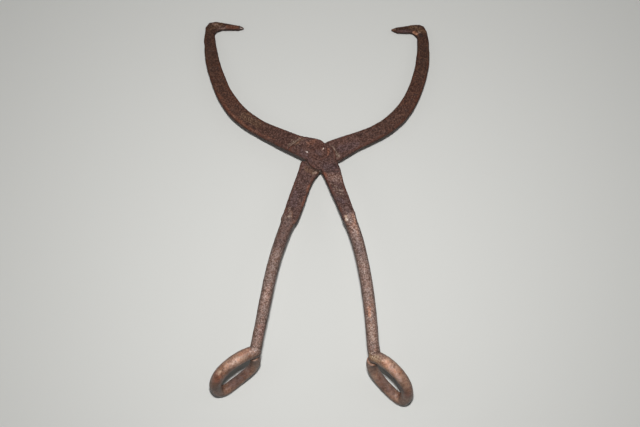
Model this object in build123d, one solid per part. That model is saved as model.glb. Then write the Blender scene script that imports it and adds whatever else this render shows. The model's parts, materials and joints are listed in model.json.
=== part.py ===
from build123d import *
import os
from math import atan2, cos, degrees, radians, sin

# Hand-forged scissor lifting tongs, at rest on a flat floor. Millimetres.
#
# Two arms cross at one rivet. Each arm is a flat blade (jaw, boss and handle
# root in one forging) lap-welded to a round grip rod that ends in an eye.
#
# Each arm is first drawn in the arms' own plane: the rivet's axis is Z through
# the origin, +Y runs towards the jaws, and the arms meet face to face at z = 0.
# A blade is drawn with its jaw to +X; the upper arm is then mirrored in X.
# Last, the tongs are tipped onto their points and grips and set on the floor.

# --- rivet and washer ---
RIVET_R = 6.5
RIVET_CLEARANCE = 0.06
RIVET_HEAD_R = 10.5
RIVET_HEAD_HEIGHT = 3.6
TAIL_HEAD_R = 11.5
TAIL_HEAD_HEIGHT = 4.2
WASHER_R = 14.2
WASHER_THICK = 2.0
WASHER_GAP = 0.15          # the washer stands this far off the turning blade
HEAD_RIM_SHARE = 0.3       # share of a rivet head's height that is straight rim

# --- blades, common to both arms ---
BOSS_THICK = 12.0
ARM_GAP = 0.2              # each arm's inner face stands this far off z = 0
BEVEL = 2.2
BEVEL_SHARE = 0.45         # a bevel takes at most this share of half the bar
ROOT_THICK = 11.0          # bar thickness beside the boss
ROOT_LEVEL = ARM_GAP + ROOT_THICK / 2
CORNER_THICK = 10.4        # bar thickness at the jaw's corner
SPIKE_THICK = 7.0          # and just before the tip
TIP_THICK = 2.0
SET_START = 38.0           # a jaw leaves its own layer here, along its length,
SET_END = 104.0            # and runs on the shared middle plane from here
JAW_STATIONS = 16

# --- handle roots and grip rods, common to both arms ---
ROOT_START = 14.0
ROOT_STATIONS = 8
WELD_THICK = 17.0          # blade thickness where it is welded to the rod
WELD_SWELL = 34.0          # the blade thickens over this length before the weld
HANDLE_SET_START = 60.0    # a handle leaves its own layer here,
HANDLE_SET_END = 185.0     # and runs on the shared middle plane from here
KNUCKLE_EXTRA = 0.2        # how far the knuckle's bulge stands proud of the eye
ROD_STATIONS = 12
EYE_STATIONS = 30
EYE_TAPER = (0.3, 0.8)     # shares of the eye's length between which it thins

# --- how the tongs lie ---
FLOOR_TILT = 6.1           # degrees between the arms' plane and the floor


# --- the two arms ---
# All are in the drawn position, with the jaw to +X. Lengths run outwards from
# the rivet. "jaw_sides" gives, at distances along the jaw, how far the bar
# reaches from its line towards the load and towards the handle. "handle_sides"
# gives its reach towards the other handle and away from it, and "diameters" the
# rod's size. "boss" is the boss's centre and radius. Headings are degrees from
# +X, and turns are to the left.
# "ribs" are the outer and inner ends of cuts across the bar, from the jaw's
# end round the corner to the point.
UPPER = {
    "layer": 1, "boss": (-2.0, -7.0, 21.0),
    "jaw_heading": 22.7,
    "jaw_bends": [(76.0, 0.0), (117.7, 46.5), (74.5, 14.8)],
    "jaw_sides": [(0, 15.5, 18), (12, 16, 18.3), (22, 17.3, 18), (33, 13.4, 16.6),
                  (46, 12.7, 15.5), (58, 13.2, 14.4), (70, 14, 12.2), (90, 14.2, 9.8),
                  (106, 14.3, 9.8), (130, 13.3, 11.8), (154, 13.3, 12), (178, 12.3, 11),
                  (202, 11.8, 10.9), (232, 10.2, 10.8), (250, 9.5, 9.6), (268, 9.1, 9.2)],
    "point_level": 0.0,
    "ribs": [((175.4, 192.0), (159.7, 193.5)), ((174.5, 206.5), (159.6, 196.8)),
             ((168.8, 215.2), (157.9, 199.4)), ((159.0, 217.3), (155.0, 201.4)),
             ((149.0, 215.6), (148.5, 203.4)), ((139.0, 213.5), (139.5, 203.6)),
             ((122.5, 210.5), (124.0, 203.4)), ((116.0, 207.6), (116.2, 205.0))],
    "handle_start": -4.7, "handle_heading": -110.5,
    "handle_bends": [(112.0, 0.0), (38.0, 7.1), (31.8, 3.9), (89.0, 6.7), (33.0, -5.0)],
    "handle_sides": [(0, 13.5, 13.5), (26, 12.8, 14), (40, 11.4, 13.2), (54, 11.4, 11.2),
                     (68, 10.5, 10.6), (90, 9.9, 9.9), (104, 9.7, 9.8)],
    "weld": 104.0,
    "diameters": [(104, 19.4), (125, 18.3), (150, 18.0), (185, 17.4),
                  (250, 17.3), (292, 16.9)],
    "eye_heading": -145.4, "eye_dip": -5.5, "eye_lean": 18.3, "eye_rise": 28.3,
    "eye_bends": [(29, 50), (69.5, 77), (20, 99), (40.5, 27), (34, 47.5)],
    "eye_radii": (8.6, 7.9),
}
LOWER = {
    "layer": -1, "boss": (-2.0, -6.0, 19.2),
    "jaw_heading": 21.1,
    "jaw_bends": [(74.0, 0.0), (84.9, 40.2), (103.5, 29.6)],
    "jaw_sides": [(0, 14.5, 17.5), (16, 15.5, 17.2), (34, 16.2, 16), (46, 15.5, 13),
                  (58, 14.9, 12), (70, 14.2, 10.6), (82, 13.6, 10), (94, 13, 10.2),
                  (106, 13, 10.5), (130, 12.5, 11), (154, 11.6, 11), (178, 10.8, 10.5),
                  (202, 10.9, 10.5), (226, 10.1, 10.4), (250, 9.4, 9.4), (263, 9, 8.8)],
    "point_level": -0.5,
    "ribs": [((164.4, 190.0), (147.7, 188.6)), ((162.7, 200.6), (146.9, 191.6)),
             ((158.4, 209.0), (144.6, 194.4)), ((151.6, 212.6), (141.6, 197.4)),
             ((140.0, 211.8), (137.8, 198.4)), ((125.0, 209.3), (126.0, 198.4)),
             ((116.2, 208.0), (118.4, 198.8)), ((108.2, 205.2), (108.5, 202.8))],
    "handle_start": -9.5, "handle_heading": -109.4,
    "handle_bends": [(125.0, 0.0), (80.3, 9.2), (92.6, 0.0)],
    "handle_sides": [(0, 15, 13.5), (14, 16, 13.5), (26, 15.8, 13), (38, 12.7, 12.6),
                     (50, 12.2, 12.4), (75, 12.8, 12), (88, 12.7, 11), (98, 12.4, 10.4),
                     (110, 10, 10.3)],
    "weld": 110.0,
    "diameters": [(110, 19.8), (125, 18.9), (150, 17.9), (175, 17.4),
                  (240, 16.8), (265, 15.9), (292, 15.8)],
    "eye_heading": -146.2, "eye_dip": 12.9, "eye_lean": 16.9, "eye_rise": 41.1,
    "eye_bends": [(102.5, 122.5), (20.5, 100), (36, 9.5), (25, 48.5), (16, 26.5)],
    "eye_radii": (8.7, 7.2),
}


def between(rows, distance):
    """Sizes at a distance, read in a straight line between stated rows."""
    for (d0, *sizes0), (d1, *sizes1) in zip(rows, rows[1:]):
        if distance <= d1:
            share = (distance - d0) / (d1 - d0)
            return [a + (b - a) * share for a, b in zip(sizes0, sizes1)]
    return list(rows[-1][1:])


def ease(distance, start, end):
    """0 before start, 1 after end, and a smooth S between them."""
    t = min(1.0, max(0.0, (distance - start) / (end - start)))
    return t * t * (3 - 2 * t)


def walk(x, y, heading, bends, distance):
    """Place and heading at a distance along stretches of (length, left turn)."""
    for length, turn in bends:
        step = min(distance, length)
        swing = turn * step / length
        if turn:
            radius = length / radians(turn)
            x += radius * (sin(radians(heading + swing)) - sin(radians(heading)))
            y -= radius * (cos(radians(heading + swing)) - cos(radians(heading)))
        else:
            x += step * cos(radians(heading))
            y += step * sin(radians(heading))
        heading += swing
        distance -= step
        if distance <= 0:
            break
    return x, y, heading


def total(bends):
    return sum(length for length, _ in bends)


def bar_section(x, y, heading, sides, thick, level):
    """Bevelled rectangle across a flat bar, reaching so far to its left and right."""
    ahead = Vector(cos(radians(heading)), sin(radians(heading)), 0)
    left = Vector(0, 0, 1).cross(ahead)
    middle = Vector(x, y, level) + left * ((sides[0] - sides[1]) / 2)
    plane = Plane(origin=middle, x_dir=left, z_dir=ahead)
    half_w, half_t = sum(sides) / 2, thick / 2
    cut = min(BEVEL, half_w * BEVEL_SHARE, half_t * BEVEL_SHARE)
    corners = [
        (half_w, half_t - cut), (half_w - cut, half_t),
        (cut - half_w, half_t), (-half_w, half_t - cut),
        (-half_w, cut - half_t), (cut - half_w, -half_t),
        (half_w - cut, -half_t), (half_w, cut - half_t),
    ]
    return plane * make_face(Polyline(*corners, close=True))


def jaw(arm):
    """The flat curved jaw, from the rivet out to the start of its corner."""
    length = total(arm["jaw_bends"])
    sections = []
    for i in range(JAW_STATIONS + 1):
        s = length * i / JAW_STATIONS
        x, y, heading = walk(0, 0, arm["jaw_heading"], arm["jaw_bends"], s)
        level = arm["layer"] * ROOT_LEVEL
        level += (arm["point_level"] - level) * ease(s, SET_START, SET_END)
        thick = ROOT_THICK + (CORNER_THICK - ROOT_THICK) * s / length
        sections.append(bar_section(x, y, heading, between(arm["jaw_sides"], s), thick, level))
    return loft(sections)


def spike(arm):
    """The sharply bent corner and the inward point."""
    x, y, heading = walk(0, 0, arm["jaw_heading"], arm["jaw_bends"], total(arm["jaw_bends"]))
    level = arm["point_level"]
    sides = arm["jaw_sides"][-1][1:]
    sections = [bar_section(x, y, heading, sides, CORNER_THICK, level)]
    last = len(arm["ribs"]) - 1
    for i, ((outer_x, outer_y), (inner_x, inner_y)) in enumerate(arm["ribs"]):
        rib = Vector(outer_x - inner_x, outer_y - inner_y)
        heading = degrees(atan2(rib.Y, rib.X)) + 90
        thick = CORNER_THICK + (SPIKE_THICK - CORNER_THICK) * i / last
        if i == last:
            thick = TIP_THICK
        sections.append(bar_section((outer_x + inner_x) / 2, (outer_y + inner_y) / 2,
                                    heading, (rib.length / 2, rib.length / 2), thick, level))
    return loft(sections, ruled=True)


def handle_place(arm, s):
    """Centre of the handle at a distance from the rivet, and its heading."""
    x, y, heading = walk(arm["handle_start"], 0, arm["handle_heading"], arm["handle_bends"], s)
    level = arm["layer"] * ROOT_LEVEL * (1 - ease(s, HANDLE_SET_START, HANDLE_SET_END))
    return x, y, level, heading


def handle_root(arm):
    """The flat stretch from the boss to the weld, thickening towards the rod."""
    sections = []
    for i in range(ROOT_STATIONS + 1):
        s = ROOT_START + (arm["weld"] - ROOT_START) * i / ROOT_STATIONS
        x, y, level, heading = handle_place(arm, s)
        swell = ease(s, arm["weld"] - WELD_SWELL, arm["weld"])
        thick = ROOT_THICK + (WELD_THICK - ROOT_THICK) * swell
        sections.append(bar_section(x, y, heading, between(arm["handle_sides"], s), thick, level))
    return loft(sections)


def boss(arm):
    """Round boss a little thicker than the bars, bevelled on its outer face."""
    low = ARM_GAP if arm["layer"] > 0 else -ARM_GAP - BOSS_THICK
    x, y, radius = arm["boss"]
    disc = Pos(x, y, low) * Cylinder(
        radius, BOSS_THICK, align=(Align.CENTER, Align.CENTER, Align.MIN))
    outer_z = low + BOSS_THICK if arm["layer"] > 0 else low
    rim = [edge for edge in disc.edges() if abs(edge.center().Z - outer_z) < 0.01]
    return chamfer(rim, BEVEL)


def blade(arm):
    """Jaw, boss and handle root in one forging, bored for the rivet."""
    body = boss(arm) + jaw(arm) + spike(arm) + handle_root(arm)
    bore_r = RIVET_R + RIVET_CLEARANCE if arm["layer"] > 0 else RIVET_R
    return body - Cylinder(bore_r, 4 * BOSS_THICK)


def rod_section(place, ahead, across, diameter):
    return Plane(origin=place, x_dir=across, z_dir=ahead) * Circle(diameter / 2)


def shank(arm):
    """Round shank from the weld to the knuckle, easing to the middle plane."""
    length = total(arm["handle_bends"])
    places = []
    for i in range(ROD_STATIONS + 1):
        s = arm["weld"] + (length - arm["weld"]) * i / ROD_STATIONS
        x, y, level, _ = handle_place(arm, s)
        places.append((Vector(x, y, level), between(arm["diameters"], s)[0]))
    heading = radians(handle_place(arm, arm["weld"])[3])
    ahead = Vector(cos(heading), sin(heading), 0)
    sections = []
    for i, (place, diameter) in enumerate(places):
        if i:
            ahead = (places[min(i + 1, ROD_STATIONS)][0] - places[i - 1][0]).normalized()
        sections.append(rod_section(place, ahead, Vector(0, 0, 1).cross(ahead), diameter))
    return loft(sections)


def eye_axes(arm):
    """The eye's own directions: along its length, and across it upwards."""
    heading, dip, lean = (radians(arm[key]) for key in ("eye_heading", "eye_dip", "eye_lean"))
    along = Vector(cos(heading) * cos(dip), sin(heading) * cos(dip), -sin(dip))
    outward = Vector(sin(heading), -cos(heading), 0)
    upward = Vector(0, 0, 1) * cos(lean) + outward * sin(lean)
    return along, (upward - along * upward.dot(along)).normalized()


def eye(arm):
    """The open eye: one turn of tapered rod whose end stops under the knuckle."""
    x, y, level, _ = handle_place(arm, total(arm["handle_bends"]))
    knuckle = Vector(x, y, level)
    along, upward = eye_axes(arm)
    bends = [(length, -turn) for length, turn in arm["eye_bends"]]
    thick_r, thin_r = arm["eye_radii"]
    sections = []
    for i in range(EYE_STATIONS + 1):
        share = i / EYE_STATIONS
        a, u, heading = walk(0, 0, arm["eye_rise"], bends, total(bends) * share)
        ahead = along * cos(radians(heading)) + upward * sin(radians(heading))
        radius = thick_r + (thin_r - thick_r) * ease(share, *EYE_TAPER)
        sections.append(rod_section(knuckle + along * a + upward * u, ahead,
                                    along.cross(upward), 2 * radius))
    return Pos(*knuckle) * Sphere(thick_r + KNUCKLE_EXTRA) + loft(sections)


def grip_rod(arm):
    return shank(arm) + eye(arm)


def rivet():
    """Rivet with two hammered heads, the upper one closing on the washer."""
    top = ARM_GAP + BOSS_THICK + WASHER_GAP + WASHER_THICK
    bottom = -ARM_GAP - BOSS_THICK
    stem = Pos(0, 0, bottom) * Cylinder(
        RIVET_R, top - bottom, align=(Align.CENTER, Align.CENTER, Align.MIN))
    return stem + head(RIVET_HEAD_R, RIVET_HEAD_HEIGHT, top, 1) + head(
        TAIL_HEAD_R, TAIL_HEAD_HEIGHT, bottom, -1)


def head(radius, height, level, way):
    """Low domed head: a spherical cap on a short straight rim."""
    rim = height * HEAD_RIM_SHARE
    rise = height - rim
    ball_r = (radius ** 2 + rise ** 2) / (2 * rise)
    ball = Pos(0, 0, level + way * (height - ball_r)) * Sphere(ball_r)
    mid = level + way * height / 2
    return ball & Pos(0, 0, mid) * Cylinder(radius, height)


def washer():
    disc = Cylinder(WASHER_R, WASHER_THICK, align=(Align.CENTER, Align.CENTER, Align.MIN))
    return Pos(0, 0, ARM_GAP + BOSS_THICK + WASHER_GAP) * (
        disc - Cylinder(RIVET_R, 4 * WASHER_THICK))


def build_tongs():
    flip = Plane.YZ
    return {
        "upper_jaw_blade": mirror(blade(UPPER), about=flip),
        "upper_grip_rod": mirror(grip_rod(UPPER), about=flip),
        "lower_jaw_blade": blade(LOWER),
        "lower_grip_rod": grip_rod(LOWER),
        "pivot_rivet": rivet(),
        "rivet_washer": washer(),
    }


def main():
    nodes = build_tongs()
    tipped = {name: Rot(-FLOOR_TILT, 0, 0) * shape for name, shape in nodes.items()}
    boxes = [shape.bounding_box() for shape in tipped.values()]
    mid_x = (min(b.min.X for b in boxes) + max(b.max.X for b in boxes)) / 2
    mid_y = (min(b.min.Y for b in boxes) + max(b.max.Y for b in boxes)) / 2
    floor = min(b.min.Z for b in boxes)
    os.makedirs("parts", exist_ok=True)
    for name, shape in tipped.items():
        placed = Pos(-mid_x, -mid_y, -floor) * shape
        box = placed.bounding_box()
        print(name, "lowest point", round(box.min.Z, 2))
        export_step(placed, f"parts/{name}.step")
    print("rivet axis passes", [round(v, 2) for v in (-mid_x, -mid_y, -floor)])


main()
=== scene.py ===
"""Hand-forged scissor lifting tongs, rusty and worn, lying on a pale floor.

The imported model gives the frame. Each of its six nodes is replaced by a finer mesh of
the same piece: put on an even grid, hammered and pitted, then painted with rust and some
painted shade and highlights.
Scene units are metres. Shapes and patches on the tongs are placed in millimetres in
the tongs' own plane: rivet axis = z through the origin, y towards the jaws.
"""

import json
from math import radians

import bmesh
import bpy
import numpy as np
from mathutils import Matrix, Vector, noise


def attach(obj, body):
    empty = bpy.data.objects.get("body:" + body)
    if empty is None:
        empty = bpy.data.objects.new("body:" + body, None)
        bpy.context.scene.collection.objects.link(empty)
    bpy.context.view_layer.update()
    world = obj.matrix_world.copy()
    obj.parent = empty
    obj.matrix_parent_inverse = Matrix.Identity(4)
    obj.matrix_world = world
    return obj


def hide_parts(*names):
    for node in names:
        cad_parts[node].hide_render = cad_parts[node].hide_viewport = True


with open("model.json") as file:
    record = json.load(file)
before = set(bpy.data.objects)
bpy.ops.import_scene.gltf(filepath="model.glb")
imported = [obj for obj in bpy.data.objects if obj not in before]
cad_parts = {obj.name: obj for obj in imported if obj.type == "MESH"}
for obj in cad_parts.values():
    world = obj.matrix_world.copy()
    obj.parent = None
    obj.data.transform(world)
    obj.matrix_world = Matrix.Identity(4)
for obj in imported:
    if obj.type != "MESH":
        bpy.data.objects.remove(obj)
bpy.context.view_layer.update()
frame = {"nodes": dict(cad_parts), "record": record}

MM = 0.001
HINGE = frame["record"]["behaviour"]["joints"][0]
RIVET = np.array(HINGE["pos_m"])
AXIS_Z = np.array(HINGE["axis"]) / np.linalg.norm(HINGE["axis"])
AXIS_X = np.array([1.0, 0.0, 0.0])
AXIS_Y = np.cross(AXIS_Z, AXIS_X)
TO_PLANE = np.stack([AXIS_X, AXIS_Y, AXIS_Z])


def to_plane(points):
    """Row frame in metres to the tongs' plane in millimetres."""
    return (points - RIVET) @ TO_PLANE.T / MM


def to_row(points):
    """The tongs' plane in millimetres to the row frame in metres."""
    return points * MM @ TO_PLANE + RIVET


# --- numbers on meshes ---

def smoothstep(low, high, values):
    t = np.clip((values - low) / (high - low), 0.0, 1.0)
    return t * t * (3 - 2 * t)


def fractal(points, size, octaves, seed):
    """Soft fractal noise, about -1 to 1, whose largest lumps are about size mm."""
    shift = Vector((17.3, 5.1, 9.7)) * seed
    return np.array([noise.fractal(Vector(p) / size + shift, 0.9, 2.0, octaves) for p in points])


def cells(points, size, seed):
    """Distance to the nearest of scattered centres, as a share of size mm."""
    shift = Vector((3.7, 11.9, 6.1)) * seed
    return np.array([noise.voronoi(Vector(p) / size + shift)[0][0] for p in points])


def read(mesh, name="co"):
    flat = np.empty(len(mesh.vertices) * 3)
    mesh.vertices.foreach_get(name, flat)
    return flat.reshape(-1, 3)


def write(mesh, points):
    mesh.vertices.foreach_set("co", points.ravel())
    mesh.update()


def neighbour_mean(mesh, values, rounds):
    """Each vertex's value replaced by its neighbours' mean, several times over."""
    flat = np.empty(len(mesh.edges) * 2, dtype=np.int32)
    mesh.edges.foreach_get("vertices", flat)
    a, b = flat.reshape(-1, 2).T
    count = len(mesh.vertices)
    degree = np.bincount(a, minlength=count) + np.bincount(b, minlength=count)
    values = values.reshape(count, -1)
    for _ in range(rounds):
        summed = [np.bincount(a, values[b, k], count) + np.bincount(b, values[a, k], count)
                  for k in range(values.shape[1])]
        values = np.stack(summed, axis=1) / degree[:, None]
    return values


def store(mesh, name, values):
    layer = mesh.attributes.new(name, "FLOAT", "POINT")
    layer.data.foreach_set("value", np.ascontiguousarray(values, dtype=np.float32))


# --- pieces ---

# The flat pad on each blade's outer face, in mm, as the upper blade has it: the
# lower blade's is the same turned over. It ends along a slanting step and at a
# shoulder across the handle root.
PAD_STEP = (-24.0, 22.5)
PAD_FACING = (0.621, -0.784)
PAD_SHOULDER = -29.4
PAD_TOP = 12.1
PAD_RISE = 1.0

STACK_TOP = 14.3           # height of the washer's top face, in mm
WASHER_COVER = 10.6        # the rivet's head hides the washer out to here

# A rod's scarf: distance ahead of the weld, half width and half thickness, in mm.
TONGUE = [(12, 8.6, 9.0), (5, 9.8, 9.6), (-1, 10.2, 9.7), (-8, 8.8, 9.3), (-14, 5.8, 8.4),
          (-20, 1.6, 7.0)]
TONGUE_ROUNDNESS = 0.67    # 1 gives the tongue an oval section, 0 a square one
TONGUE_SIDES = 32
WELD_FALL = 0.055          # how steeply the handle leaves its layer at the weld
WELD_CAP = 0.4             # the rod's flat end is every point this near its tip, in mm

# Surfaces that rub on each other stay smooth. Distances in mm.
RUB_GAP = 1.6              # from the plane between the arms
RUB_REACH = 60             # from the rivet, between the arms
BORE_REACH = 15.5          # from the rivet, in its holes and under the washer

# The forged surface's marks, in mm.
FACET_SIZE = 15.0
FLAKE_SIZE = 7.0
RASH_SIZE = 30.0
PIT_SPACING = 3.6
GRAIN_SIZE = 2.2
GRAIN_DEPTH = 0.07

# The ragged edge of the pad and the crevice along its step, in mm.
PAD_RAGGED = 0.7
CREVICE_WIDTH = 1.1
CREVICE_DEPTH = 0.5

# The groove worn round the rivet's head, and the hammer marks on it, in mm.
RING_RADIUS = 7.2
RING_WIDTH = 0.7
RING_DEPTH = 0.28
HEAD_SETBACK = 0.12        # keeps the marks from standing proud of the plain head

# Where stored marks fade in, as distances from the rivet in mm.
WALL_SHADE_FADE = (20, 45)       # the painted shade on a blade's walls
POLISH_FADE = (298, 314)   # the hand-rubbed eye of a rod
HANDLE_BELOW = -10         # a point whose y is lower than this is on a handle


def add_weld_tongue(mesh, heading, layer, lean):
    """Joins a rod to its scarf: a flat tongue that tapers over the blade's end."""
    flat = np.array([np.cos(radians(heading)), np.sin(radians(heading)), 0.0])
    ahead = flat - np.array([0.0, 0.0, WELD_FALL * layer])
    side = np.array([-flat[1], flat[0], 0.0])
    up = np.array([0.0, 0.0, 1.0])
    place = to_plane(read(mesh))
    along = place @ flat
    centre = place[along < along.min() + WELD_CAP].mean(axis=0)
    turn = np.linspace(0, 2 * np.pi, TONGUE_SIDES, endpoint=False)
    across = np.sign(np.cos(turn)) * np.abs(np.cos(turn)) ** TONGUE_ROUNDNESS
    above = np.sign(np.sin(turn)) * np.abs(np.sin(turn)) ** TONGUE_ROUNDNESS
    rings = []
    for s, half_width, half_thick in TONGUE:
        middle = centre + ahead * s + side * lean * max(0.0, s / TONGUE[-1][0])
        ring = middle + np.outer(across * half_width, side) + np.outer(above * half_thick, up)
        rings.append(to_row(ring))
    shape = bmesh.new()
    shape.from_mesh(mesh)
    loops = [[shape.verts.new(point) for point in ring] for ring in rings]
    for loop, next_loop in zip(loops, loops[1:]):
        for i in range(TONGUE_SIDES):
            j = (i + 1) % TONGUE_SIDES
            shape.faces.new((loop[i], loop[j], next_loop[j], next_loop[i]))
    shape.faces.new(loops[0][::-1])
    shape.faces.new(loops[-1])
    bmesh.ops.recalc_face_normals(shape, faces=shape.faces)
    shape.to_mesh(mesh)
    shape.free()


def regrid(name, node, voxel, rounding, weld):
    """A new object with the node's shape on an even grid, its corners eased."""
    piece = bpy.data.objects.new(name, frame["nodes"][node].data.copy())
    bpy.context.collection.objects.link(piece)
    if weld:
        add_weld_tongue(piece.data, *weld)
    grid = piece.modifiers.new("grid", "REMESH")
    grid.mode = "VOXEL"
    grid.voxel_size = voxel
    grid.use_smooth_shade = True
    ease = piece.modifiers.new("ease", "SMOOTH")
    ease.iterations = rounding
    graph = bpy.context.evaluated_depsgraph_get()
    mesh = bpy.data.meshes.new_from_object(piece.evaluated_get(graph))
    piece.modifiers.clear()
    piece.data = mesh
    return piece


def forge(piece, seed, hammer, scale, pit):
    """Hammer facets, flaking scale and rust pits, all cut inwards or a little proud."""
    mesh = piece.data
    rest = read(mesh)
    place = to_plane(rest)
    normal = read(mesh, "normal")
    facets = fractal(place, FACET_SIZE, 2, seed) * hammer
    flakes = smoothstep(-0.05, 0.08, fractal(place, FLAKE_SIZE, 4, seed + 1)) * scale
    rash = smoothstep(-0.1, 0.35, fractal(place, RASH_SIZE, 2, seed + 2))
    holes = (1 - smoothstep(0.12, 0.42, cells(place, PIT_SPACING, seed))) * rash * pit
    grain = fractal(place, GRAIN_SIZE, 3, seed + 3) * GRAIN_DEPTH
    near_rivet = np.hypot(place[:, 0], place[:, 1])
    inner_face = (np.abs(place[:, 2]) < RUB_GAP) & (near_rivet < RUB_REACH)
    bore = near_rivet < BORE_REACH
    lift = (facets + flakes - holes + grain - scale) * MM
    lift = np.where(inner_face | bore, 0.0, lift)
    write(mesh, rest + normal * neighbour_mean(mesh, lift, 1))


def raise_boss_pad(piece, turned):
    """Lifts the outer face round the rivet to a flat pad with a slanting step."""
    mesh = piece.data
    rest = read(mesh)
    place = to_plane(rest) * (turned, 1, turned)
    x, y, z = place.T
    ragged = fractal(place, 6.0, 2, 41) * PAD_RAGGED
    outer = smoothstep(6, 10, z)
    into = (x - PAD_STEP[0]) * PAD_FACING[0] + (y - PAD_STEP[1]) * PAD_FACING[1] + ragged
    above = y - PAD_SHOULDER + ragged
    share = smoothstep(-PAD_RAGGED, PAD_RAGGED, into) * smoothstep(-PAD_RAGGED, PAD_RAGGED, above)
    rise = share * np.clip(PAD_TOP - z, 0, PAD_RISE) * outer
    crevice = np.exp(-(into / CREVICE_WIDTH) ** 2) * outer * CREVICE_DEPTH * (y > PAD_SHOULDER)
    write(mesh, rest + np.outer((rise - crevice) * turned * MM, AXIS_Z))


def peen_rivet(piece):
    """Hammer marks and a worn ring on the faces of the rivet and washer that show."""
    mesh = piece.data
    rest = read(mesh)
    place = to_plane(rest)
    normal = read(mesh, "normal")
    from_axis = np.hypot(place[:, 0], place[:, 1])
    shows = (place[:, 2] > STACK_TOP + 0.2) | (place[:, 2] < -STACK_TOP)
    rim = (from_axis > WASHER_COVER) & (place[:, 2] > STACK_TOP - 1.4)
    ring = -RING_DEPTH * np.exp(-((from_axis - RING_RADIUS) / RING_WIDTH) ** 2)
    marks = fractal(place, 5.0, 3, 43) * 0.22 + fractal(place, 1.6, 2, 44) * 0.06
    lift = np.where(shows | rim, marks + ring - HEAD_SETBACK, 0.0) * MM
    write(mesh, rest + normal * neighbour_mean(mesh, lift, 2))


def wear_and_shade_marks(piece, flatness):
    """Stores how far the surface bulges, coarse and fine, and how it faces.

    Flatness is 1 for a flat bar, whose walls are marked for painted shade, and 0 for a round
    one, whose top is marked for painted light and whose sides are marked for painted shade.
    """
    mesh = piece.data
    points = read(mesh)
    normal = read(mesh, "normal")
    for name, rounds, full in (("broad", 14, 0.22), ("fine", 3, 0.035)):
        bulge = ((points - neighbour_mean(mesh, points, rounds)) * normal).sum(axis=1) / MM
        store(mesh, name, np.clip(bulge / full, -1, 1))
    upright = np.abs(normal @ AXIS_Z)
    place = to_plane(points)
    from_axis = np.hypot(place[:, 0], place[:, 1])
    steep = 1 - smoothstep(0.15, 0.6, upright)
    # painted shade: a blade's steep walls, away from the rivet, are marked to be darkened
    store(mesh, "side", steep * smoothstep(*WALL_SHADE_FADE, from_axis) * flatness)
    # painted shade: round bars are marked lighter on top and darker on their sides by how they face up
    store(mesh, "painted_top_light", np.maximum(normal @ AXIS_Z, flatness))


# --- materials ---

def srgb(red, green, blue):
    """A colour given as 0 to 255 screen values, in linear light."""
    return tuple((c / 255 / 12.92) if c < 11 else ((c / 255 + 0.055) / 1.055) ** 2.4
                 for c in (red, green, blue)) + (1.0,)


class Graph:
    """A small writer of shader nodes."""

    def __init__(self, name):
        self.material = bpy.data.materials.new(name)
        self.material.use_nodes = True
        self.tree = self.material.node_tree
        self.shader = self.tree.nodes["Principled BSDF"]
        self.place = self.tree.nodes.new("ShaderNodeTexCoord").outputs["Object"]

    def node(self, kind, inputs=(), **settings):
        made = self.tree.nodes.new(kind)
        for key, value in settings.items():
            setattr(made, key, value)
        for key, value in dict(inputs).items():
            self.feed(made.inputs[key], value)
        return made

    def feed(self, socket, value):
        if isinstance(value, bpy.types.NodeSocket):
            self.tree.links.new(value, socket)
        else:
            socket.default_value = value

    def noise(self, size_mm, detail=4.0, roughness=0.6, warp=0.0, shift=0.0):
        moved = self.node("ShaderNodeVectorMath", {0: self.place, 1: (shift, shift, shift)})
        made = self.node("ShaderNodeTexNoise", {
            "Vector": moved.outputs[0], "Scale": 1 / (size_mm * MM), "Detail": detail,
            "Roughness": roughness, "Distortion": warp})
        return made.outputs["Fac"]

    def mark(self, name):
        return self.node("ShaderNodeAttribute", attribute_name=name).outputs["Fac"]

    def range(self, value, low, high, to_low=0.0, to_high=1.0):
        """The value from low to high, mapped softly onto to_low to to_high."""
        made = self.node("ShaderNodeMapRange", {
            "Value": value, "From Min": low, "From Max": high,
            "To Min": to_low, "To Max": to_high}, interpolation_type="SMOOTHSTEP")
        return made.outputs["Result"]

    def math(self, operation, a, b=0.0):
        return self.node("ShaderNodeMath", {0: a, 1: b}, operation=operation).outputs[0]

    def mix(self, share, a, b, blend="MIX"):
        made = self.node("ShaderNodeMix", data_type="RGBA", blend_type=blend)
        self.feed(made.inputs[0], share)
        self.feed(made.inputs[6], a)
        self.feed(made.inputs[7], b)
        return made.outputs[2]


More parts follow.
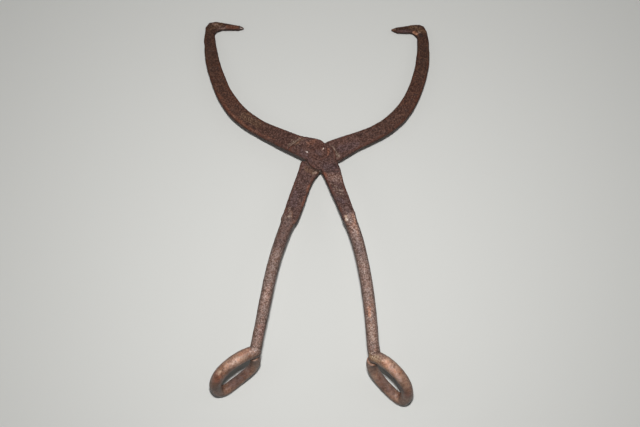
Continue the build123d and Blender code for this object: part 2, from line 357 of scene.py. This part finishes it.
def rust(name, speckle, shine, specular):
    """Layered rust over the painted tint: blotches, mottling, dark pits and pale grit.

    Speckle is how strong the grit is. Shine is the roughness of the glossiest spots,
    before the part that hands have rubbed is made smoother.
    """
    g = Graph(name)
    rubbed = g.range(g.mark("polish"), 0.0, 1.0, 1.0, 0.30)

    def speck(under, share, tone):
        """A tone mixed over a colour, weaker where hands have rubbed the bar."""
        return g.mix(g.math("MULTIPLY", share, rubbed), under, tone)

    body = g.node("ShaderNodeAttribute", attribute_name="tint").outputs["Color"]
    # painted shade: round bars lighter on top and darker towards their sides, by how the surface faces
    body = g.mix(1.0, body, g.range(g.mark("painted_top_light"), 0.15, 0.97, 0.50, 1.08), "MULTIPLY")
    dark = g.mix(1.0, body, (0.42, 0.33, 0.28, 1.0), "MULTIPLY")
    warm = g.mix(1.0, body, (1.40, 1.08, 0.82, 1.0), "MULTIPLY")
    pale = g.mix(1.0, body, (1.70, 2.05, 2.25, 1.0), "MULTIPLY")
    spark = g.mix(1.0, body, (2.50, 3.40, 4.00, 1.0), "MULTIPLY")
    blotch = g.noise(26, 4, 0.55, 0.5)
    colour = g.mix(g.range(blotch, 0.50, 0.64, 0.0, 0.40), body, warm)
    colour = g.mix(g.range(blotch, 0.48, 0.34, 0.0, 0.50), colour, dark)
    stain = g.noise(12, 4, 0.6, 0.4, 7.7)
    colour = g.mix(g.range(stain, 0.54, 0.68, 0.0, 0.35), colour, warm)
    mottle = g.noise(5.5, 5, 0.7, 0.3, 3.1)
    bloom = g.noise(9, 3, 0.5, 0.6, 9.1)
    bloom_share = g.range(g.mark("polish"), 0.0, 1.0, 0.0, 0.6)
    lighter = g.math("MULTIPLY", g.range(bloom, 0.50, 0.62), bloom_share)
    colour = g.mix(g.math("MULTIPLY", lighter, 0.6), colour, pale)
    darker = g.math("MULTIPLY", g.range(bloom, 0.49, 0.38), bloom_share)
    colour = g.mix(darker, colour, dark)
    colour = speck(colour, g.range(mottle, 0.52, 0.64, 0.0, 0.70), pale)
    colour = speck(colour, g.range(mottle, 0.48, 0.36, 0.0, 0.85), dark)
    fleck = g.noise(2.6, 3, 0.6, 0.2, 5.3)
    colour = speck(colour, g.range(fleck, 0.51, 0.61), pale)
    colour = speck(colour, g.range(fleck, 0.49, 0.38), dark)
    grit = g.noise(1.7, 3, 0.75, 0.0, 1.7)
    colour = speck(colour, g.range(grit, 0.53, 0.64, 0.0, speckle), spark)
    colour = speck(colour, g.range(grit, 0.47, 0.36, 0.0, min(1.0, speckle * 1.5)), dark)
    colour = g.mix(g.range(g.mark("fine"), -0.15, -0.9, 0.0, 0.8), colour, dark)
    proud = g.range(g.mark("broad"), 0.25, 0.95, 0.0, 0.6)
    proud = g.math("MULTIPLY", proud, g.range(stain, 0.44, 0.58))
    colour = g.mix(proud, colour, warm)
    # painted shade: the walls of a blade are darkened
    side = g.math("MULTIPLY", g.mark("side"), 0.85)
    colour = g.mix(side, colour, dark)
    g.feed(g.shader.inputs["Base Color"], colour)
    rough = g.range(g.math("ADD", mottle, grit), 0.85, 1.2, shine + 0.25, shine)
    rough = g.math("MULTIPLY", rough, g.range(g.mark("polish"), 0.0, 1.0, 1.0, 0.72))
    g.feed(g.shader.inputs["Roughness"], rough)
    g.shader.inputs["Specular IOR Level"].default_value = specular
    height = g.math("ADD", grit, g.math("MULTIPLY", mottle, 1.5))
    bump = g.node("ShaderNodeBump", {"Height": height, "Distance": 0.5 * MM, "Strength": 0.9})
    g.feed(g.shader.inputs["Normal"], bump.outputs["Normal"])
    return g.material


BLADE_RUST = rust("blade_rust", 0.70, 0.50, 0.35)
ROD_RUST = rust("rod_rust", 0.75, 0.42, 0.5)
RIVET_RUST = rust("rivet_rust", 0.35, 0.48, 0.3)


# --- the tint painted on each piece ---

# Body colour by distance from the rivet, in mm: jaws positive, handles negative.
ARM_TINT = [
    (-345, (136, 101, 83)), (-318, (154, 119, 99)), (-298, (116, 88, 76)), (-250, (119, 92, 81)),
    (-160, (117, 90, 79)),
    (-118, (101, 74, 64)), (-100, (80, 54, 47)), (-40, (77, 50, 43)), (0, (79, 50, 42)),
    (50, (74, 45, 36)), (110, (70, 42, 31)), (160, (70, 40, 27)), (235, (60, 35, 23)),
]

DUST = (124, 100, 84)
TAN = (140, 112, 96)
CREAM = (196, 170, 150)
ORANGE = (128, 78, 56)
BRIGHT_ORANGE = (186, 130, 100)
PINK = (150, 116, 102)
OLIVE = (92, 64, 44)
# painted shade: the near-black under each eye's near strand, where its shadow falls
PURPLE = (72, 52, 54)
PAINTED_SHADE = (38, 26, 20)
# painted highlight: the colour of small glints
PAINTED_GLINT = (226, 200, 186)

# Each patch: from, to (x, y, z in mm), radius, colour, strength.
UPPER_PATCHES = [
    # dust in the step of the pad, and the pad's worn corner
    ((-26, 20, 11), (-34, 16, 11), 3.2, DUST, 0.45),
    ((-36, 15, 11), (-44, 10, 11), 2.8, DUST, 0.45),
    ((-32, 12, 12), (-40, 17, 11), 3.0, DUST, 0.4),
    ((-16, 12, 12), (-8, 16, 12), 5, ORANGE, 0.3),
    # painted highlight: a glint on the pad
    ((-20, 0, 12), (-18, -1, 12), 1.1, PAINTED_GLINT, 0.5),
    ((-26, 0, 12), (-16, -14, 12), 5, PURPLE, 0.4),
    ((-22, -12, 4), (-12, -22, 4), 4.5, TAN, 0.5),
    ((-10, -25, 4), (4, -29, 4), 4.5, TAN, 0.45),
    ((8, -22, 12), (20, -24, 12), 7, PURPLE, 0.45),
    ((16, -38, 11), (26, -42, 11), 7, PINK, 0.35),
    ((8, -34, 11), (10, -38, 9), 3.0, ORANGE, 0.4),
    # worn bevel along the back of the jaw
    ((-150, 96, 5), (-146, 88, 5), 2.6, ORANGE, 0.2),
    ((-143, 82, 5), (-133, 66, 5), 2.2, ORANGE, 0.2),
    ((-128, 61, 5), (-108, 43, 5), 2.4, ORANGE, 0.3),
    ((-104, 41, 5), (-88, 30, 6), 2.4, ORANGE, 0.25),
    ((-80, 27, 6), (-66, 19, 7), 2.2, ORANGE, 0.35),
    ((-112, 60, 5), (-92, 46, 5), 7, OLIVE, 0.5),
    # the point
    ((-162, 213, 5), (-158, 210, 5), 3.2, PINK, 0.35),
    ((-152, 206, 4), (-146, 205, 4), 3.4, PINK, 0.25),
    ((-140, 208, 4), (-126, 207, 4), 2.6, ORANGE, 0.35),
    ((-166, 205, 5), (-150, 214, 5), 5, OLIVE, 0.5),
    # painted highlight: a glint near the point
    ((-121, 206, 3), (-119, 206, 2), 1.1, PAINTED_GLINT, 0.3),
    # scratches across the handle root
    ((14, -48, 11), (24, -54, 11), 1.5, TAN, 0.35),
    ((20, -57, 11), (32, -60, 11), 1.6, TAN, 0.4),
    ((24, -62, 11), (34, -66, 11), 1.4, TAN, 0.35),
    ((26, -72, 11), (34, -78, 11), 3.5, PURPLE, 0.4),
    # the weld and the rubbed rod below it
    ((37, -99, 13), (38, -104, 13), 2.8, CREAM, 0.5),
    ((46, -96, 12), (49, -108, 11), 2.6, BRIGHT_ORANGE, 0.45),
    ((50, -112, 11), (53, -122, 11), 2.6, BRIGHT_ORANGE, 0.3),
    ((44, -100, 13), (50, -124, 13), 7, PINK, 0.4),
    ((52, -140, 12), (58, -152, 12), 7, PURPLE, 0.35),
    ((67, -228, 8), (68, -240, 8), 2.2, BRIGHT_ORANGE, 0.45),
    ((69, -254, 8), (71, -268, 8), 6, TAN, 0.4),
    # the eye
    # painted shade along the underside of the near strand
    ((66, -306, 4), (74, -306, 3), 2.6, PAINTED_SHADE, 0.8),
    ((76, -303, 1), (100, -322, -2), 4.5, PAINTED_SHADE, 0.85),
    ((100, -322, -2), (111, -338, -13), 4.5, PAINTED_SHADE, 0.85),
    ((86, -303, 13), (92, -309, 13), 5.0, BRIGHT_ORANGE, 0.6),
    # painted highlight along the crest of the near strand
    ((95, -312, 12), (106, -326, 7), 5, (180, 146, 132), 0.6),
    ((68, -296, 7), (78, -299, 10), 6, (150, 118, 88), 0.7),
    ((118, -338, -12), (122, -344, -20), 8, (112, 66, 48), 0.6),
    # the far strand: partly purple-brown rust, partly painted shade from the near strand above
    ((84, -318, -36), (100, -336, -42), 9, PURPLE, 0.55),
    ((72, -306, -16), (76, -310, -26), 7, PURPLE, 0.35),
]
LOWER_PATCHES = [
    # dust on the lower blade, where the upper one leaves it
    ((17, 12, 0), (27, -3, 0), 3.0, DUST, 0.5),
    ((-6, -26, 0), (-8, -29, 0), 3.2, TAN, 0.6),
    ((-8, -26, -4), (4, -27, -5), 4, DUST, 0.5),
    ((-12, -27, 0), (-20, -22, 0), 4, OLIVE, 0.5),
    ((30, 8, 0), (52, 16, 0), 7, PURPLE, 0.35),
    # orange along the handle's inner edge
    ((-15, -48, 0), (-17, -56, 0), 3.0, ORANGE, 0.45),
    ((-19, -62, -1), (-25, -78, -1), 2.4, ORANGE, 0.25),
    ((-34, -60, 0), (-38, -76, 0), 6, PURPLE, 0.35),
    # the weld
    ((-48, -98, 4), (-41, -95, 4), 2.4, TAN, 0.75),
    ((-44, -84, 2), (-41, -90, 3), 3, TAN, 0.4),
    ((-48, -112, 6), (-57, -136, 6), 11, (82, 55, 47), 0.75),
    # the point
    ((143, 198, 3), (146, 195, 4), 3.0, BRIGHT_ORANGE, 0.45),
    ((149, 197, 4), (151, 198, 4), 2.0, TAN, 0.5),
    ((153, 191, 5), (152, 194, 5), 2.6, (44, 30, 24), 0.8),
    ((140, 208, 4), (158, 200, 5), 4.5, OLIVE, 0.7),
    ((120, 200, 3), (134, 200, 3), 3.0, PURPLE, 0.6),
    ((114, 204, 2), (111, 204, 1), 1.4, TAN, 0.4),
    # the rubbed rod
    ((-70, -198, 9), (-73, -212, 9), 6, PINK, 0.4),
    ((-79, -254, 7), (-80, -266, 7), 6, (128, 90, 80), 0.5),
    # the eye
    # painted shade along the underside of the near strand
    ((-82, -292, 3), (-90, -294, 3), 2.6, PAINTED_SHADE, 0.8),
    ((-97, -294, 0), (-125, -319, -6), 4.5, PAINTED_SHADE, 0.85),
    # painted highlight along the crest of the near strand
    ((-110, -300, 13), (-126, -312, 10), 5.0, (182, 146, 128), 0.6),
    ((-98, -286, 11), (-106, -292, 12), 6, (160, 112, 88), 0.5),
    ((-87, -284, 9), (-91, -288, 11), 5, (180, 152, 140), 0.45),
    ((-134, -314, 5), (-137, -317, 2), 3.4, CREAM, 0.6),
    ((-138, -321, -1), (-141, -326, -8), 8, (128, 76, 58), 0.6),
    ((-142, -330, -14), (-138, -332, -24), 6, OLIVE, 0.6),
    # the far strand: partly purple-brown rust, partly painted shade from the near strand above
    ((-100, -304, -34), (-122, -324, -44), 9, PURPLE, 0.6),
]
RIVET_PATCHES = [
    # painted highlight: a glint on the rivet's head
    ((4, 1, 17), (5, 3, 17), 0.9, PAINTED_GLINT, 0.6),
    ((12, 3, 14), (12, -6, 14), 2.0, ORANGE, 0.5),
    ((-6, -2, 17), (0, -6, 17), 3, PURPLE, 0.3),
]


def segment_distance(points, start, end):
    """Each point's distance from a straight segment."""
    start, end = np.array(start, float), np.array(end, float)
    reach = end - start
    share = np.clip((points - start) @ reach / (reach @ reach), 0, 1)
    return np.linalg.norm(points - start - np.outer(share, reach), axis=1)


def paint(piece, patches, gain):
    """Stores the tint: the arm's body colour, then soft ragged patches over it."""
    mesh = piece.data
    place = to_plane(read(mesh))
    away = np.hypot(place[:, 0], place[:, 1]) * np.where(place[:, 1] < HANDLE_BELOW, -1, 1)
    stops = np.array([stop for stop, _ in ARM_TINT])
    shades = np.array([srgb(*shade)[:3] for _, shade in ARM_TINT])
    colour = np.stack([np.interp(away, stops, shades[:, k]) for k in range(3)], axis=1)
    colour *= gain
    store(mesh, "polish", smoothstep(*POLISH_FADE, -away))
    ragged = fractal(place, 5.0, 4, 31)
    for start, end, radius, shade, strength in patches:
        gap = segment_distance(place, start, end) / radius
        share = (1 - smoothstep(0.45, 1.15, gap + 0.45 * ragged))[:, None] * strength
        colour = colour * (1 - share) + np.array(srgb(*shade)[:3]) * share
    layer = mesh.attributes.new("tint", "FLOAT_COLOR", "POINT")
    with_alpha = np.concatenate([colour, np.ones((len(colour), 1))], axis=1)
    layer.data.foreach_set("color", np.ascontiguousarray(with_alpha, dtype=np.float32).ravel())


# --- making the six pieces ---

# Depth of the hammer facets, the flaking scale and the pits, in mm.
BLADE_FORGING = (0.30, 0.18, 0.45)
ROD_FORGING = (0.20, 0.12, 0.30)

PIECES = {
    # piece: node, voxel in mm, rounds of rounding, seed and forging, material, patches
    "upper_blade_forged": ("upper_jaw_blade", 0.66, 3, (1, *BLADE_FORGING), BLADE_RUST, UPPER_PATCHES),
    "lower_blade_forged": ("lower_jaw_blade", 0.66, 3, (5, *BLADE_FORGING), BLADE_RUST, LOWER_PATCHES),
    "upper_rod_forged": ("upper_grip_rod", 0.58, 3, (9, *ROD_FORGING), ROD_RUST, UPPER_PATCHES),
    "lower_rod_forged": ("lower_grip_rod", 0.58, 3, (13, *ROD_FORGING), ROD_RUST, LOWER_PATCHES),
    "rivet_forged": ("pivot_rivet", 0.30, 2, None, RIVET_RUST, RIVET_PATCHES),
    "washer_worn": ("rivet_washer", 0.25, 2, None, RIVET_RUST, RIVET_PATCHES),
}
# Each rod's heading at the weld in degrees, its layer, and its tongue's lean in mm.
WELDS = {"upper_grip_rod": (-69.5, 1, 2.0), "lower_grip_rod": (-109.4, -1, -0.8)}
# How much lighter or darker a rod is than the arms' tint.
GAINS = {"upper_grip_rod": 1.04, "lower_grip_rod": 0.90}
# The lower blade's pad is the upper one's turned over.
TURNED = {"upper_jaw_blade": 1, "lower_jaw_blade": -1}
BODY_OF = {node: body for body, nodes in frame["record"]["behaviour"]["bodies"].items()
           for node in nodes}

for name, row in PIECES.items():
    node, voxel, rounding, forging, material, patches = row
    piece = regrid(name, node, voxel * MM, rounding, WELDS.get(node))
    if node in TURNED:
        raise_boss_pad(piece, TURNED[node])
    if forging:
        forge(piece, *forging)
    else:
        peen_rivet(piece)
    wear_and_shade_marks(piece, 1.0 if material is BLADE_RUST else 0.0)
    paint(piece, patches, GAINS.get(node, 1.0))
    piece.data.materials.clear()
    piece.data.materials.append(material)
    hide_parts(node)
    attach(piece, BODY_OF[node])


# --- floor, light and camera ---

FLOOR_HALF = 12.0          # half the floor's width, in m


def make_floor():
    half = FLOOR_HALF
    mesh = bpy.data.meshes.new("floor")
    mesh.from_pydata([(-half, -half, 0), (half, -half, 0), (half, half, 0), (-half, half, 0)],
                     [], [(0, 1, 2, 3)])
    floor = bpy.data.objects.new("floor", mesh)
    bpy.context.collection.objects.link(floor)
    surface = bpy.data.materials.new("pale_floor")
    surface.use_nodes = True
    shader = surface.node_tree.nodes["Principled BSDF"]
    shader.inputs["Base Color"].default_value = srgb(206, 206, 202)
    shader.inputs["Roughness"].default_value = 0.6
    mesh.materials.append(surface)


CAMERA_BACK = 0.3524       # the lens stands this far behind the rivet
CAMERA_UP = 1.2457         # and this far above it
CAMERA_TILT = 12.0         # degrees off straight down


def make_camera():
    data = bpy.data.cameras.new("camera")
    data.lens = 50.0
    data.sensor_width = 36.0
    camera = bpy.data.objects.new("camera", data)
    bpy.context.collection.objects.link(camera)
    camera.location = Vector(RIVET) + Vector((0, -CAMERA_BACK, CAMERA_UP))
    camera.rotation_euler = (radians(CAMERA_TILT), 0, 0)
    bpy.context.scene.camera = camera


def make_light(name, place, target, size, energy):
    data = bpy.data.lights.new(name, "AREA")
    data.shape = "DISK"
    data.size = size
    data.energy = energy
    light = bpy.data.objects.new(name, data)
    bpy.context.collection.objects.link(light)
    light.location = place
    light.rotation_euler = (Vector(target) - Vector(place)).to_track_quat("-Z", "Y").to_euler()


make_floor()
make_camera()
# name, place, target, size in m, power in W
make_light("key", (0.0, -0.11, 1.25), (0.0, -0.12, 0.0), 0.08, 14.2)
make_light("fill_left", (-1.6, -0.4, 1.5), (0.0, 0.0, 0.0), 1.2, 1.8)
make_light("fill_right", (1.6, 0.4, 1.5), (0.0, 0.0, 0.0), 1.2, 1.8)

world = bpy.data.worlds.new("studio")
bpy.context.scene.world = world
world.use_nodes = True
world.node_tree.nodes["Background"].inputs["Color"].default_value = (1.0, 1.0, 1.0, 1.0)
world.node_tree.nodes["Background"].inputs["Strength"].default_value = 0.09
bpy.context.scene.view_settings.view_transform = "Standard"
